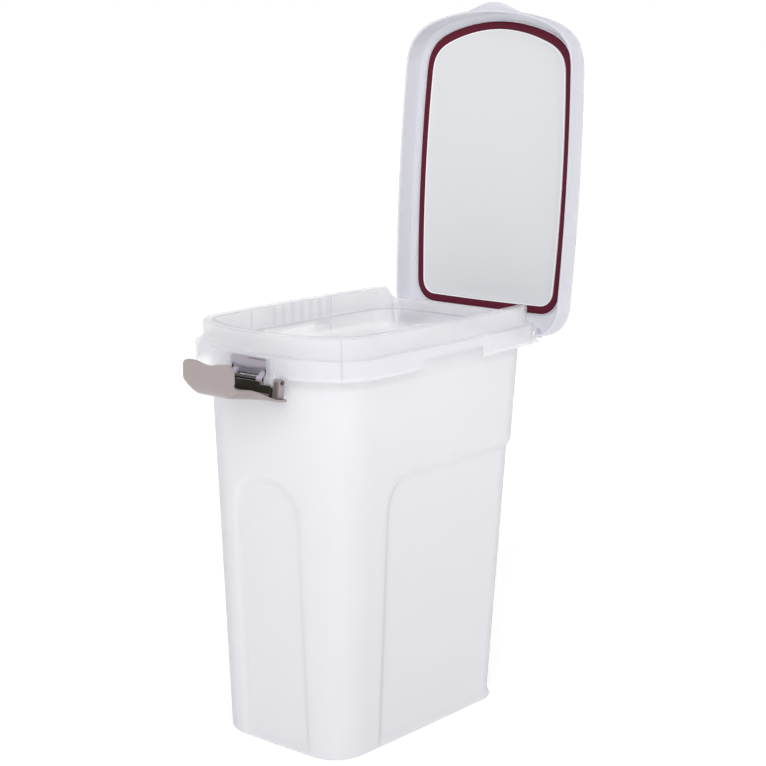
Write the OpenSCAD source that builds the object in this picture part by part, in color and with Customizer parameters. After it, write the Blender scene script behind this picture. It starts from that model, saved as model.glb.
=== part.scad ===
// Tall flip-lid food bin: one moulded tub, a hinged lid with a soft seal, and a swing latch.
// Millimetres. +Z up, front towards -Y, origin at the centre of the resting base.

/* [Tub] */
// Half width of the rim at its widest
rim_half_w = 108.4; // [90:0.1:130]
// Half length of the rim
rim_half_l = 163.3; // [140:0.1:190]
// Height of the rim's top above the floor
rim_top = 428.4; // [380:0.1:480]
// Height of the ledge that the closed lid covers
ledge_top = 407.8; // [360:0.1:460]
// How far the ledge and its skirt stand out past the rim
skirt_out = 6.6; // [5:0.1:10]
// Depth of the skirt below the ledge
skirt_drop = 20.4; // [14:0.1:30]
// Thickness of the tub's walls
wall = 2.4; // [1.8:0.1:3.5]
// Thickness of the tub's floor
floor_t = 3.2; // [2:0.1:5]
// How far the rim's top is lower along the rear
rear_drop = 12.4; // [0:0.1:14]

/* [Tub taper] */
// Half width of the base
base_half_w = 83.5; // [70:0.1:100]
// Half length of the base
base_half_l = 134.2; // [110:0.1:150]
// Depth of the moulded panels in the tub's walls
panel_depth = 3; // [1:0.1:5]
// Height of the side panels
panel_top = 284; // [200:1:330]
// Half width of the arched front panel
arch_half_w = 45; // [30:1:55]
// Height at which the arch of the front panel springs
arch_spring = 240; // [180:1:270]

/* [Lid] */
// Depth of the lid from its skirt's edge to its top
lid_depth = 25.5; // [20:0.1:32]
// Gap between the closed lid and the ledge
lid_gap = 0.7; // [0.4:0.1:2]
// Thickness of the lid's walls
lid_wall = 2.2; // [1.6:0.1:3]
// How far the lid reaches past the skirt at the hinge
lid_overhang = 5.4; // [4:0.1:8]
// Angle from shut to fully open
lid_open = 93.9; // [80:0.1:100]

/* [Seal] */
// Width of the soft seal
seal_w = 8; // [4:0.1:9]
// Thickness of the soft seal
seal_t = 2.6; // [2:0.1:4]
// Inset of the seal's outer edge from the lid's side
seal_inset = 14; // [10:0.1:18]

/* [Hinge] */
// Height of the hinge pins
hinge_z = 393.5; // [390:0.1:400]
// Distance of the hinge pins behind the origin
hinge_y = 168.2; // [167:0.1:170]
// Radius of a hinge pin
hinge_pin_r = 2.5; // [2:0.1:3]
// Inner end of each lid arm, from the middle
arm_in = 64; // [50:0.5:66]
// Outer end of each lid arm, from the middle
arm_out = 88; // [80:0.5:89]

/* [Latch] */
// Height of the latch pin
latch_z = 385; // [380:0.1:388]
// Distance of the latch pin in front of the origin
latch_y = 169.9; // [168:0.1:172]
// Radius of the latch pin
latch_pin_r = 2; // [1.5:0.1:2.5]
// Half width of the latch at its pin
latch_root_w = 51; // [46:0.5:54]
// Half width of the latch at its lip
latch_tip_w = 35; // [30:0.5:42]
// Height of the latch's lip
lip_h = 34; // [26:0.5:36]
// Thickness of the latch's walls
latch_t = 2.4; // [1.8:0.1:3]

/* [Hidden] */
$fn = 48;
run = 0.06;                             // radial clearance of a pin in its bore
skirt_z = ledge_top - skirt_drop;       // underside of the skirt
lid_low = ledge_top + lid_gap;          // shut lid: edge of its skirt
lid_top = lid_low + lid_depth;          // shut lid: top face
neck_z = 400;                           // the tub's wall draws in here, below the rim
rim_w = 9.4;                            // width of the rim's flat top
rear_line = 150.1;                      // the low rear rim starts at this y
flange_t = 2.2;                         // thickness of rim, ledge and skirt

// ---------- outline: bowed sides, rounded corners, the same point count at every size ----------
// shape = [half width, front y, rear y, side bow, front bow, rear bow, front radius, rear radius]
steps_edge = 4;
steps_corner = 5;
steps_side = 6;
function lerp(a, b, t) = a + (b - a) * t;
function side_x(s, y) =
    let (front = s[1] + s[4], rear = s[2] - s[5])
    s[0] - s[3] * pow((y - (front + rear) / 2) / ((rear - front) / 2), 2);
function front_y(s, x) = s[1] + s[4] * pow(x / (s[0] - s[3]), 2);
function rear_y(s, x) = s[2] - s[5] * pow(x / (s[0] - s[3]), 2);
// centre of a corner's arc: found by stepping, since both edges are curved
function front_centre(s, n = 12, c = [60, -100]) =
    n == 0 ? c : front_centre(s, n - 1, [side_x(s, c[1]) - s[6], front_y(s, c[0]) + s[6]]);
function rear_centre(s, n = 12, c = [60, 100]) =
    n == 0 ? c : rear_centre(s, n - 1, [side_x(s, c[1]) - s[7], rear_y(s, c[0]) - s[7]]);
function half_outline(s) =
    let (f = front_centre(s), r = rear_centre(s))
    concat(
        [for (i = [0:steps_edge]) let (x = f[0] * i / steps_edge) [x, front_y(s, x)]],
        [for (i = [1:steps_corner]) let (a = -90 + 90 * i / steps_corner)
            [f[0] + s[6] * cos(a), f[1] + s[6] * sin(a)]],
        [for (i = [1:steps_side]) let (y = lerp(f[1], r[1], i / steps_side)) [side_x(s, y), y]],
        [for (i = [1:steps_corner]) let (a = 90 * i / steps_corner)
            [r[0] + s[7] * cos(a), r[1] + s[7] * sin(a)]],
        [for (i = [1:steps_edge]) let (x = r[0] * (1 - i / steps_edge)) [x, rear_y(s, x)]]);
function outline(s) =
    let (h = half_outline(s), n = len(h))
    concat(h, [for (i = [1:n - 2]) [-h[n - 1 - i][0], h[n - 1 - i][1]]]);
function normal(p, i) =
    let (n = len(p), d = p[(i + 1) % n] - p[(i + n - 1) % n])
    [d[1], -d[0]] / norm(d);
// shrink moves every point in along its normal
function shrink(p, d) = [for (i = [0:len(p) - 1]) p[i] - normal(p, i) * d];
function lift(p, z) = [for (q = p) [q[0], q[1], z]];

rim_shape = [rim_half_w, -rim_half_l, rim_half_l - 0.1, 4.9, 25, 1, 51.9, 36.5];
rim_line = outline(rim_shape);
base_shape = [base_half_w, -base_half_l, base_half_l - 2, 1, 1, 1, 37, 31];
top_shape = [rim_half_w - 5.3, -rim_half_l + 5.3, rim_half_l - 5.3, 4.9, 25, 1, 51.9, 36.5];
lid_shape = [rim_half_w + skirt_out, -rim_half_l - skirt_out, rim_half_l + skirt_out + lid_overhang,
             4.9, 25, 1, 54, 34];
lid_line = outline(lid_shape);
inner_lid_shape = [lid_shape[0] - seal_inset, lid_shape[1] + 11, lid_shape[2] - 23, 4.9, 25, 1, 45, 24];
seal_line = outline(inner_lid_shape);

// ---------- solids built from rings of points ----------
module skin(rings) {
    n = len(rings[0]);
    m = len(rings);
    pts = [for (r = rings) for (p = r) p];
    sides = [for (k = [0:m - 2]) for (i = [0:n - 1])
        let (a = k * n + i, b = k * n + (i + 1) % n)
        each [[a, b + n, b], [a, a + n, b + n]]];
    caps = [[for (i = [0:n - 1]) i], [for (i = [0:n - 1]) m * n - 1 - i]];
    polyhedron(points = pts, faces = concat(sides, caps), convexity = 10);
}
// a tube: the last ring joins the first
module loop_skin(rings) {
    n = len(rings[0]);
    m = len(rings);
    pts = [for (r = rings) for (p = r) p];
    sides = [for (k = [0:m - 1]) for (i = [0:n - 1])
        let (j = (k + 1) % m, i2 = (i + 1) % n)
        each [[k * n + i, j * n + i2, k * n + i2], [k * n + i, j * n + i, j * n + i2]]];
    polyhedron(points = pts, faces = sides, convexity = 10);
}

// ---------- tub ----------
soft = 8;          // width of the slope round a moulded panel
panel_start = -74; // front edge of the side panels
panel_r = 35;      // their upper corner
function unit(v) = max(0, min(1, v));
function side_panel(y, z) =
    let (a = y - panel_start, b = panel_top - z)
    (a < panel_r && b < panel_r) ? panel_r - norm([panel_r - a, panel_r - b]) : min(a, b);
function arch_panel(x, y, z) =
    y > -90 ? -1 : arch_half_w - (z < arch_spring ? abs(x) : norm([x, z - arch_spring]));
function panel(p, z) =
    panel_depth * max(unit(side_panel(p[1], z) / soft), unit(arch_panel(p[0], p[1], z) / soft));
// the tub's wall at height z, moved in by d
function tub_ring(z, d) =
    let (t = z / ledge_top, p = outline([for (i = [0:7]) lerp(base_shape[i], top_shape[i], t)]))
    [for (i = [0:len(p) - 1]) let (q = p[i] - normal(p, i) * (d + panel(p[i], z))) [q[0], q[1], z]];
// the collar at height z, moved in by d; its high parts step down along the rear
function collar_ring(z, d) =
    let (q = shrink(rim_line, d))
    [for (i = [0:len(q) - 1])
        [q[i][0], q[i][1], z - (z > 415 ? rear_drop * unit((rim_line[i][1] - rear_line) / 7) : 0)]];
wall_heights = [150, 236, 258, 274, 292];
module tub() {
    skin(concat(
        [tub_ring(0, 3), tub_ring(3, 0)],
        [for (z = wall_heights) tub_ring(z, 0)],
        [tub_ring(402, 0),
         collar_ring(408, rim_w - wall), collar_ring(rim_top - flange_t, rim_w - wall),
         collar_ring(rim_top - flange_t, flange_t), collar_ring(ledge_top - flange_t, flange_t),
         collar_ring(ledge_top - flange_t, flange_t - skirt_out), collar_ring(skirt_z, flange_t - skirt_out),
         collar_ring(skirt_z, -skirt_out), collar_ring(ledge_top - 1, -skirt_out),
         collar_ring(ledge_top, 1 - skirt_out), collar_ring(ledge_top, 0),
         collar_ring(rim_top - 2.4, 0), collar_ring(rim_top - 0.7, 0.8), collar_ring(rim_top, 2.4),
         collar_ring(rim_top, rim_w - 0.6), collar_ring(rim_top - 0.6, rim_w),
         collar_ring(neck_z, rim_w)],
        [tub_ring(neck_z - 3, wall)],
        [for (i = [len(wall_heights) - 1:-1:0]) tub_ring(wall_heights[i], wall)],
        [tub_ring(floor_t + 5, wall), tub_ring(floor_t, wall + 4)]));
}

grip_y = [-44, 53];                          // ends of each finger notch in the skirt
grip_ribs = [-32, -17, -5, 9, 23, 37, 53];   // upright ribs inside the rim, above each notch
module grip_rib(side, y) {
    x = side_x(rim_shape, y);
    translate([side * (x - rim_w / 2), y, (neck_z + rim_top) / 2 + 3])
        cube([rim_w - 1.6, 1.6, rim_top - neck_z - 8], center = true);
}
// a web that ties the skirt to the wall at each corner
module corner_web(x, y, turn) {
    translate([x, y, ledge_top - 10])
        rotate([0, 0, turn])
            translate([-1.2, 0, 0])
                cube([12.8, 1.6, 17], center = true);
}

cheek_r = 7;
cheek_t = 4.5;
arm_gap = 0.3;     // side clearance of a lid arm between its cheeks
knuckle_r = 6.7;   // round end of a lid arm
shelf_z = 385.8;   // the open lid's arms rest just above this shelf
module hinge_cheek(x, t) {
    translate([x, 0, 0])
        rotate([90, 0, 90])
            linear_extrude(t)
                union() {
                    translate([hinge_y, hinge_z])
                        circle(cheek_r);
                    polygon([[154.5, 382.5], [hinge_y + 6, 382.5], [hinge_y + cheek_r, hinge_z],
                             [hinge_y + 4, hinge_z + 6], [160, 405.8], [154.5, 405.8]]);
                }
}
module hinge_housing() {
    hinge_cheek(arm_in - arm_gap - cheek_t, cheek_t);
    hinge_cheek(arm_out + arm_gap, cheek_t);
    translate([arm_in - arm_gap - cheek_t, 154.5, shelf_z - 3.3])
        cube([arm_out - arm_in + 2 * (arm_gap + cheek_t), 23.5, 3.3]);
}
lug_in = 27;
lug_out = 37.5;
lug_r = 5.5;
module latch_lug() {
    translate([lug_in, 0, 0])
        rotate([90, 0, 90])
            linear_extrude(lug_out - lug_in)
                union() {
                    translate([-latch_y, latch_z])
                        circle(lug_r);
                    polygon([[-latch_y, latch_z - lug_r], [-154.8, latch_z - lug_r],
                             [-154.8, ledge_top - 1], [-164, ledge_top - 1], [-latch_y - lug_r, latch_z]]);
                }
}
module both_sides() {
    children();
    mirror([1, 0, 0])
        children();
}
module bin_body() {
    color([0.88, 0.88, 0.91, 0.6])
        difference() {
            union() {
                difference() {
                    tub();
                    both_sides() {
                        // finger notch in the skirt
                        translate([rim_half_w, grip_y[0], skirt_z - 5])
                            cube([20, grip_y[1] - grip_y[0], 15.5]);
                        // room for a lid arm
                        translate([arm_in - arm_gap, rim_half_l + 0.5, skirt_z - 5])
                            cube([arm_out - arm_in + 2 * arm_gap, 20, 30]);
                        translate([arm_in - arm_gap, hinge_y, hinge_z])
                            rotate([0, 90, 0])
                                cylinder(r = knuckle_r + 0.6, h = arm_out - arm_in + 2 * arm_gap);
                        // room for a latch ear
                        translate([38, -latch_y, latch_z])
                            rotate([0, 90, 0])
                                cylinder(r = 6.4, h = 11);
                    }
                    // window for the latch bracket
                    translate([-24, -latch_y - 5, skirt_z - 5])
                        cube([48, 8.5, 23]);
                }
                both_sides() {
                    for (y = grip_ribs)
                        grip_rib(1, y);
                    corner_web(93, -138.4, -46);
                    corner_web(97, rear_line, 43);
                    hinge_housing();
                    latch_lug();
                }
            }
            both_sides() {
                translate([arm_in - 6, hinge_y, hinge_z])
                    rotate([0, 90, 0])
                        cylinder(r = hinge_pin_r + run, h = arm_out - arm_in + 12);
                translate([lug_in - 1, -latch_y, latch_z])
                    rotate([0, 90, 0])
                        cylinder(r = latch_pin_r + run, h = lug_out - lug_in + 2);
            }
        }
}

// ---------- latch bracket: the grey block that carries the middle of the latch pin ----------
bracket_half_w = 22;
module latch_bracket() {
    color([0.58, 0.56, 0.6])
        difference() {
            union() {
                translate([-bracket_half_w, -167.6, latch_z + 4])
                    cube([2 * bracket_half_w, 2.4, 16]);
                translate([-bracket_half_w, -166, latch_z + 3])
                    cube([2 * bracket_half_w, 7, 2.4]);
                for (x = [-bracket_half_w, bracket_half_w - 7])
                    translate([x, 0, 0])
                        rotate([90, 0, 90])
                            linear_extrude(7)
                                union() {
                                    translate([-latch_y, latch_z])
                                        circle(4.6);
                                    polygon([[-latch_y, latch_z + 4.6], [-latch_y + 4.4, latch_z - 1.4],
                                             [-160, latch_z + 2], [-160, latch_z + 10],
                                             [-165.2, latch_z + 20], [-167.6, latch_z + 20]]);
                                }
            }
            translate([-bracket_half_w - 1, -latch_y, latch_z])
                rotate([0, 90, 0])
                    cylinder(r = latch_pin_r + run, h = 2 * bracket_half_w + 2);
        }
}

// ---------- pins ----------
module pin(x0, x1, y, z, r) {
    translate([x0, y, z])
        rotate([0, 90, 0])
            cylinder(r = r, h = x1 - x0);
}
module latch_pin() {
    color([0.75, 0.75, 0.77])
        pin(-47.5, 47.5, -latch_y, latch_z, latch_pin_r);
}
module hinge_pin_right() {
    color([0.86, 0.86, 0.89])
        pin(arm_in - 4.5, arm_out + 4.5, hinge_y, hinge_z, hinge_pin_r);
}
module hinge_pin_left() {
    mirror([1, 0, 0])
        hinge_pin_right();
}

// ---------- lid: drawn shut, then swung open about the hinge ----------
module swing_open() {
    translate([0, hinge_y, hinge_z])
        rotate([-lid_open, 0, 0])
            translate([0, -hinge_y, -hinge_z])
                children();
}
function lid_ring(z, d) = lift(shrink(lid_line, d), z);
lid_round = 4;   // radius of the lid's upper edge
module lid_dish() {
    skin(concat(
        [for (a = [90:-30:0]) lid_ring(lid_top - lid_round + (lid_round - lid_wall) * sin(a),
                                       lid_round - (lid_round - lid_wall) * cos(a))],
        [lid_ring(lid_low, lid_wall), lid_ring(lid_low, 0)],
        [for (a = [0:30:90]) lid_ring(lid_top - lid_round + lid_round * sin(a),
                                      lid_round - lid_round * cos(a))]));
}
module ring_wall(line, d0, d1, z0, z1) {
    loop_skin([lift(shrink(line, d0), z0), lift(shrink(line, d0), z1),
               lift(shrink(line, d1), z1), lift(shrink(line, d1), z0)]);
}
module lid_arm() {
    translate([arm_in, 0, 0])
        rotate([90, 0, 90])
            linear_extrude(arm_out - arm_in)
                union() {
                    translate([hinge_y, hinge_z])
                        circle(knuckle_r);
                    polygon([[hinge_y - 3.6, hinge_z], [hinge_y + knuckle_r, hinge_z],
                             [hinge_y + knuckle_r, lid_low + 9],
                             [hinge_y - 3.6, lid_low + 3]]);
                }
}
tab_half_w = 38;
module lid_tab() {
    translate([0, 0, lid_low + 6.5])
        linear_extrude(2.4)
            polygon([[-tab_half_w, -rim_half_l], [-tab_half_w + 5, -latch_y - 4.5],
                     [-20, -latch_y - 9], [20, -latch_y - 9],
                     [tab_half_w - 5, -latch_y - 4.5], [tab_half_w, -rim_half_l]]);
}
module lid_shell() {
    color([0.86, 0.86, 0.9, 0.75])
        swing_open()
            difference() {
                union() {
                    lid_dish();
                    ring_wall(seal_line, -1.5, -0.2, lid_top - lid_wall - 3, lid_top - lid_wall + 0.5);
                    both_sides()
                        lid_arm();
                    difference() {
                        lid_tab();
                        translate([0, 0, lid_low])
                            linear_extrude(12)
                                polygon(shrink(lid_line, 1));
                    }
                }
                both_sides()
                    translate([arm_in - 1, hinge_y, hinge_z])
                        rotate([0, 90, 0])
                            cylinder(r = hinge_pin_r + run, h = arm_out - arm_in + 2);
            }
}
panel_gap = 0.15;
panel_line = shrink(seal_line, seal_w + panel_gap);
module lid_inner_panel() {
    color([0.9, 0.91, 0.92])
        swing_open()
            skin([lift(shrink(panel_line, 0.8), lid_top - lid_wall - 1.9),
                  lift(panel_line, lid_top - lid_wall - 1.2), lift(panel_line, lid_top - lid_wall - 0.1)]);
}
module lid_gasket() {
    color([0.38, 0.15, 0.21])
        swing_open()
            ring_wall(seal_line, 0, seal_w, lid_top - lid_wall - 0.1 - seal_t, lid_top - lid_wall - 0.1);
}

// ---------- latch: drawn open, hanging level in front of the tub ----------
reach = lid_top + 0.4 - latch_z;   // pin to the lip's inner face
web_low = 17.6;                    // the web lies this far below the pin
bend_r = 11;
// side view of the latch, y forward of the pin and z above it, both skins of the wall
module latch_profile() {
    rotate([90, 0, 90])
        linear_extrude(2 * latch_root_w, center = true)
            difference() {
                latch_outer_side();
                offset_side();
            }
}
tip_rise = 5;      // the web climbs this much towards the lip
module side_shape(t) {
    // t = 0 gives the outer skin, t = wall thickness the inner one
    union() {
        polygon([[0, -web_low + t], [0, lip_h], [-reach - latch_t + t, lip_h],
                 [-reach - latch_t + t, -web_low + tip_rise + bend_r],
                 [-reach - latch_t + bend_r, -web_low + tip_rise + t]]);
        translate([-reach - latch_t + bend_r, -web_low + tip_rise + bend_r])
            circle(bend_r - t);
    }
}
module latch_outer_side() {
    side_shape(0);
}
module offset_side() {
    side_shape(latch_t);
    translate([-20, -web_low + latch_t + 3])
        square([40, 80]);
}
module latch_plan() {
    tip = -reach - latch_t;
    polygon(concat(
        [[-latch_root_w, 1], [-latch_root_w, -6], [-latch_root_w + 3, -16]],
        [[-latch_tip_w - 4, tip + 16], [-latch_tip_w, tip - 1]],
        [[latch_tip_w, tip - 1], [latch_tip_w + 4, tip + 16]],
        [[latch_root_w - 3, -16], [latch_root_w, -6], [latch_root_w, 1]]));
}
lip_top = lip_h - 12;
dip = 3;
module latch_front() {
    w = latch_root_w + 1;
    polygon(concat(
        [[-w, -web_low - 1], [w, -web_low - 1], [w, -web_low + 6], [latch_tip_w + 1.5, lip_top - 12]],
        [for (a = [0:15:90]) [latch_tip_w - 7 + 7 * cos(a), lip_top - 7 + 7 * sin(a)]],
        [for (i = [-4:4]) [-i * 5, lip_top - dip * (1 + cos(i * 45)) / 2]],
        [for (a = [90:15:180]) [-latch_tip_w + 7 + 7 * cos(a), lip_top - 7 + 7 * sin(a)]],
        [[-latch_tip_w - 1.5, lip_top - 12], [-w, -web_low + 6]]));
}
ear_in = 39;
ear_out = 47;
heel_half_w = 18;
heel_l = 13.6;
module latch_ear() {
    translate([ear_in, 0, 0])
        rotate([90, 0, 90])
            linear_extrude(ear_out - ear_in)
                union() {
                    circle(5.2);
                    polygon([[5.2, 0], [2, -web_low + 1], [-9, -web_low + 2], [-4.6, 2.4]]);
                }
}
module latch() {
    color([0.76, 0.73, 0.73])
        translate([0, -latch_y, latch_z])
            difference() {
                union() {
                    intersection() {
                        latch_profile();
                        translate([0, 0, -40])
                            linear_extrude(80)
                                latch_plan();
                        translate([0, 5, 0])
                            rotate([90, 0, 0])
                                linear_extrude(80)
                                    latch_front();
                    }
                    both_sides()
                        latch_ear();
                    // cross rib between the ears
                    translate([-ear_in - 1, -10, -web_low + 1.6])
                        cube([2 * ear_in + 2, 2, 7]);
                    // end wall below the pin, and the heel that rests on the tub's wall
                    translate([-ear_in - 1, -1, -web_low])
                        cube([2 * ear_in + 2, 2, web_low - 6.2]);
                    translate([-heel_half_w, -1, -web_low])
                        cube([2 * heel_half_w, heel_l + 1, latch_t]);
                }
                translate([-ear_out - 1, 0, 0])
                    rotate([0, 90, 0])
                        cylinder(r = latch_pin_r + run, h = 2 * ear_out + 2);
            }
}

bin_body();
latch_bracket();
latch_pin();
hinge_pin_left();
hinge_pin_right();
lid_shell();
lid_inner_panel();
lid_gasket();
latch();
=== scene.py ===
"""Flip-lid food bin: moulded tub and collar, hinged lid with a soft seal, swing latch in front."""
import math

import bmesh
import bpy
from mathutils import Matrix, Vector


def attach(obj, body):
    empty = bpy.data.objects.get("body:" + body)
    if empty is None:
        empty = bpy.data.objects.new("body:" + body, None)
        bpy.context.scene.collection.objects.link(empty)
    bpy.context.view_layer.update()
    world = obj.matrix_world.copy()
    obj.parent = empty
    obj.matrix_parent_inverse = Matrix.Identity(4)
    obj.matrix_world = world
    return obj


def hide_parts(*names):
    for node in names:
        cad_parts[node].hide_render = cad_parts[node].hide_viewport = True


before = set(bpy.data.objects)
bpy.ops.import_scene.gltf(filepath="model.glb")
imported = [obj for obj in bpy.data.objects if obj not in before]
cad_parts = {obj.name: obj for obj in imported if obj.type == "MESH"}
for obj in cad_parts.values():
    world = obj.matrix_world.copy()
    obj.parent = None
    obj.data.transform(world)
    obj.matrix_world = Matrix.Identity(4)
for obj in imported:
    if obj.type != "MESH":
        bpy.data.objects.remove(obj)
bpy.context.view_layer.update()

MM = 0.001

# ---------------------------------------------------------------- sizes, in millimetres
RIM_TOP = 428.4        # top of the rim
RIM_W = 9.4            # width of the rim
LEDGE = 407.8          # ledge that the shut lid covers
SKIRT_OUT = 6.6        # the skirt stands out this far past the rim
SKIRT_LOW = 387.4      # lower edge of the skirt
WALL = 2.4
FLOOR = 3.2            # thickness of the floor, and so the height of its upper face
REAR_DROP = 12.4       # the rim is lower along the rear
REAR_LINE = 150.1      # y at which the rim starts to step down
REAR_RAMP = 7.0        # length of the step down
REAR_KEPT = 415.0      # outlines below this height stay level
SEAL_W = 8.0
LID_LOW = LEDGE + 0.7
LID_TOP = LID_LOW + 25.5
LID_WALL = 2.2
LID_OPEN = 93.9        # degrees from shut to open
UNDERSIDE = LID_TOP - LID_WALL - 0.1   # what the seal and the panel sit on
SEAL_T = 2.6
HINGE = (168.2, 393.5)   # y, z
LATCH = (-169.9, 385.0)  # y, z
ARM_IN, ARM_OUT = 64.0, 88.0   # lid arms, from and to along x
ARM_GAP = 0.3
CHEEK = 4.5            # thickness of the hinge cheeks beside each arm
KNUCKLE_R = 6.7        # round end of a lid arm
LUG_IN, LUG_OUT = 27.0, 37.5   # latch lugs, from and to along x
LATCH_BORE = 2.06      # radius of the holes for the latch pin
HINGE_BORE = 2.56      # radius of the holes for the hinge pins
RIBS = (-32, -17, -5, 9, 23, 37, 53)   # y of each rib inside the rim
WEBS = ((93, -138.4, -46), (97, REAR_LINE, 43))   # x, y and turn of the corner webs

# an outline: half width, front y, rear y, side bow, front bow, rear bow, front radius, rear radius
RIM = (108.4, -163.3, 163.2, 4.9, 25.0, 1.0, 51.9, 36.5)
WALL_TOP = (103.1, -158.0, 158.0, 4.9, 25.0, 1.0, 51.9, 36.5)
BASE = (83.5, -134.2, 132.2, 1.0, 1.0, 1.0, 37.0, 31.0)
LID = (115.0, -169.9, 175.3, 4.9, 25.0, 1.0, 54.0, 34.0)
SEAL = (101.0, -158.9, 152.3, 4.9, 25.0, 1.0, 45.0, 24.0)


# ---------------------------------------------------------------- small workshop helpers
def deselect():
    if bpy.context.object and bpy.context.object.mode != 'OBJECT':
        bpy.ops.object.mode_set(mode='OBJECT')
    bpy.ops.object.select_all(action='DESELECT')


def take(piece):
    deselect()
    piece.select_set(True)
    bpy.context.view_layer.objects.active = piece


def edit(piece):
    take(piece)
    bpy.ops.object.mode_set(mode='EDIT')


def done():
    bpy.ops.object.mode_set(mode='OBJECT')


def settle(piece):
    """Put the piece's place into its mesh."""
    take(piece)
    bpy.ops.object.transform_apply(location=True, rotation=True, scale=True)
    return piece


def pick(piece, wanted):
    """In edit mode: select the vertices that pass the test."""
    bpy.ops.mesh.select_mode(type='VERT')
    bpy.ops.mesh.select_all(action='DESELECT')
    bm = bmesh.from_edit_mesh(piece.data)
    for v in bm.verts:
        v.select_set(bool(wanted(v.co / MM)))
    bm.select_flush_mode()
    bmesh.update_edit_mesh(piece.data)


def join(piece, *others):
    deselect()
    for o in others:
        o.select_set(True)
    piece.select_set(True)
    bpy.context.view_layer.objects.active = piece
    bpy.ops.object.join()
    return piece


def outward(piece):
    edit(piece)
    bpy.ops.mesh.select_all(action='SELECT')
    bpy.ops.mesh.remove_doubles(threshold=1e-6)
    bpy.ops.mesh.normals_make_consistent(inside=False)
    done()
    return piece


def apply(piece, kind, **settings):
    take(piece)
    mod = piece.modifiers.new(kind.lower(), kind)
    for key, value in settings.items():
        setattr(mod, key, value)
    bpy.ops.object.modifier_apply(modifier=mod.name)


def cut(piece, tool, how='DIFFERENCE'):
    apply(piece, 'BOOLEAN', operation=how, object=tool, solver='EXACT')
    bpy.data.objects.remove(tool)


def smooth(piece, angle):
    take(piece)
    bpy.ops.object.shade_smooth_by_angle(angle=math.radians(angle))
    return piece


def mirrored(piece):
    """A copy on the other side of the middle."""
    take(piece)
    bpy.ops.object.duplicate()
    other = bpy.context.object
    other.scale = (-1, 1, 1)
    settle(other)
    edit(other)
    bpy.ops.mesh.select_all(action='SELECT')
    bpy.ops.mesh.flip_normals()
    done()
    return other


def block(low, high, round_off=0.0, segments=2):
    """A box between two corners with its edges rounded."""
    deselect()
    mid = [(a + b) / 2 * MM for a, b in zip(low, high)]
    bpy.ops.mesh.primitive_cube_add(size=1, location=mid)
    box = bpy.context.object
    box.scale = [(b - a) * MM for a, b in zip(low, high)]
    settle(box)
    if round_off:
        edit(box)
        bpy.ops.mesh.select_all(action='SELECT')
        bpy.ops.mesh.bevel(offset=round_off * MM, segments=segments, affect='EDGES')
        done()
    return box


def rod(x0, x1, y, z, radius, sides=48):
    deselect()
    bpy.ops.mesh.primitive_cylinder_add(vertices=sides, radius=radius * MM, depth=(x1 - x0) * MM,
                                        location=((x0 + x1) / 2 * MM, y * MM, z * MM),
                                        rotation=(0, math.pi / 2, 0))
    return settle(bpy.context.object)


def arc(centre, radius, start, stop, step):
    """Points (y, z) on an arc about a centre, with angles in degrees."""
    return [(centre[0] + radius * math.cos(math.radians(a)), centre[1] + radius * math.sin(math.radians(a)))
            for a in range(start, stop, step)]


def plate(points, x0, x1, round_off):
    """Draw a side view corner by corner in the Y-Z plane, fill it, pull it out along X, round its edges."""
    deselect()
    bpy.ops.mesh.primitive_plane_add(size=0.001, location=(0, 0, 0))
    piece = bpy.context.object
    bpy.ops.object.mode_set(mode='EDIT')
    bpy.ops.mesh.select_mode(type='VERT')
    bpy.ops.mesh.select_all(action='SELECT')
    bpy.ops.mesh.merge(type='CENTER')
    bpy.ops.transform.translate(value=(x0 * MM, points[0][0] * MM, points[0][1] * MM))
    for a, b in zip(points, points[1:]):
        bpy.ops.mesh.extrude_vertices_move(
            TRANSFORM_OT_translate={"value": (0, (b[0] - a[0]) * MM, (b[1] - a[1]) * MM)})
    bpy.ops.mesh.select_all(action='SELECT')
    bpy.ops.mesh.edge_face_add()
    bpy.ops.mesh.extrude_region_move(TRANSFORM_OT_translate={"value": ((x1 - x0) * MM, 0, 0)})
    bpy.ops.mesh.select_all(action='SELECT')
    bpy.ops.mesh.bevel(offset=round_off * MM, segments=2, affect='EDGES')
    done()
    return outward(piece)


def ease(v):
    """A soft step from 0 to 1."""
    v = min(1.0, max(0.0, v))
    return v * v * (3 - 2 * v)


def lerp(a, b, t):
    return a + (b - a) * t


def between(a, b, t):
    return tuple(lerp(p, q, t) for p, q in zip(a, b))


def inset(shape, d):
    w, front, rear, sb, fb, rb, rf, rr = shape
    return (w - d, front + d, rear - d, sb, fb, rb, max(rf - d, 2), max(rr - d, 2))


def side_x(shape, y):
    w, front, rear, sb, fb, rb = shape[:6]
    low, high = front + fb, rear - rb
    return w - sb * ((y - (low + high) / 2) / ((high - low) / 2)) ** 2


STEPS = 12     # points along each of the sixteen spans of an outline
RING = 16 * STEPS


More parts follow.
